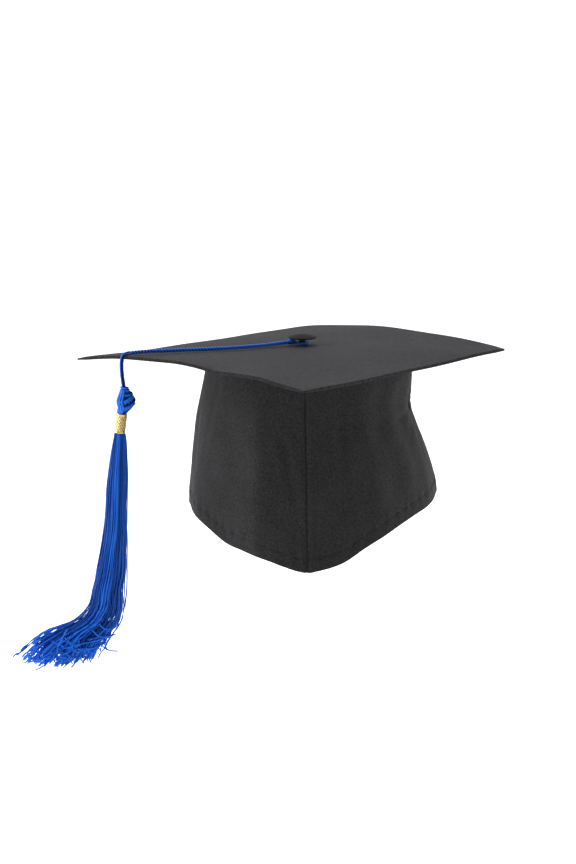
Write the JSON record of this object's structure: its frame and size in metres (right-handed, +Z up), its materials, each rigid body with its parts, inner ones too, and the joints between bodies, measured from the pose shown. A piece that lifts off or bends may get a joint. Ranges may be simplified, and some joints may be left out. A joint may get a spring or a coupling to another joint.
{
  "type": "graduation_cap",
  "caption": "Graduation cap: arched square board on a soft pointed crown, covered button, and a corded blue tassel that turns, swings and trails its fringe",
  "frame": {"origin": "On the button's axis, at the head opening, at the height of the hem over the ears", "axes": "+Z up out of the board; the crown's front point faces -Y; +X is the side away from the tassel"},
  "size_m": [0.3944, 0.3384, 0.2534],
  "materials": {
    "board_card": "grey-brown chipboard, seen nowhere when covered",
    "black_cloth": "matte black polyester, fine plain weave",
    "button_cloth": "the same black cloth stretched over the button",
    "button_metal": "thin pressed steel",
    "neck_plastic": "black plastic spacer",
    "lining_cloth": "black fused interlining",
    "elastic": "black braided elastic",
    "black_thread": "black sewing thread",
    "blue_cord": "royal blue twisted rayon cord",
    "blue_thread": "royal blue rayon thread",
    "gold_band": "gold-coloured embossed metal sleeve"
  },
  "bodies": {
    "root": {"board_core": "board_card", "board_top_cover": "black_cloth", "board_bottom_cover": "black_cloth", "button_cover": "button_cloth", "button_shell": "button_metal", "button_back_plate": "button_metal", "button_neck": "neck_plastic", "button_legs": "button_metal", "clinch_washer": "button_metal", "leg_cover_patch": "black_cloth", "crown_left_panel": "black_cloth", "crown_right_panel": "black_cloth", "crown_left_lining": "lining_cloth", "crown_right_lining": "lining_cloth", "hem_left_facing": "black_cloth", "hem_right_facing": "black_cloth", "front_seam_tape": "lining_cloth", "back_seam_tape": "lining_cloth", "back_elastic": "elastic", "crown_top": "lining_cloth", "hem_stitches": "black_thread", "crown_top_stitches": "black_thread"},
    "board_cord": {"tassel_eye": "blue_cord", "tassel_board_cord": "blue_cord"},
    "hanging_cord": {"tassel_hanging_cord": "blue_cord"},
    "tassel_head": {"tassel_knot": "blue_cord", "tassel_band": "gold_band", "tassel_binding": "blue_thread", "fringe_upper": "blue_thread"},
    "fringe_end": {"fringe_lower": "blue_thread"}
  },
  "joints": [
    {"name": "tassel_turn", "type": "hinge", "parent": "root", "child": "board_cord", "pos_m": [0, 0, 0.1234], "axis": [0, 0, 1], "range_deg": [0, 58], "deforming": ["tassel_board_cord"]},
    {"name": "tassel_swing", "type": "hinge", "parent": "board_cord", "child": "hanging_cord", "pos_m": [-0.1428, -0.0402, 0.119], "axis": [-0.2706, 0.9627, 0], "range_deg": [-8, 100], "deforming": ["tassel_hanging_cord"]},
    {"name": "tassel_sway", "type": "hinge", "parent": "hanging_cord", "child": "tassel_head", "pos_m": [-0.14164, -0.03988, 0.0951], "axis": [-0.9627, -0.2706, 0], "range_deg": [-30, 30]},
    {"name": "fringe_bend", "type": "hinge", "parent": "tassel_head", "child": "fringe_end", "pos_m": [-0.15628, -0.04399, -0.062], "axis": [-0.2706, 0.9627, 0], "range_deg": [-58, 12], "deforming": ["fringe_lower"]}
  ]
}
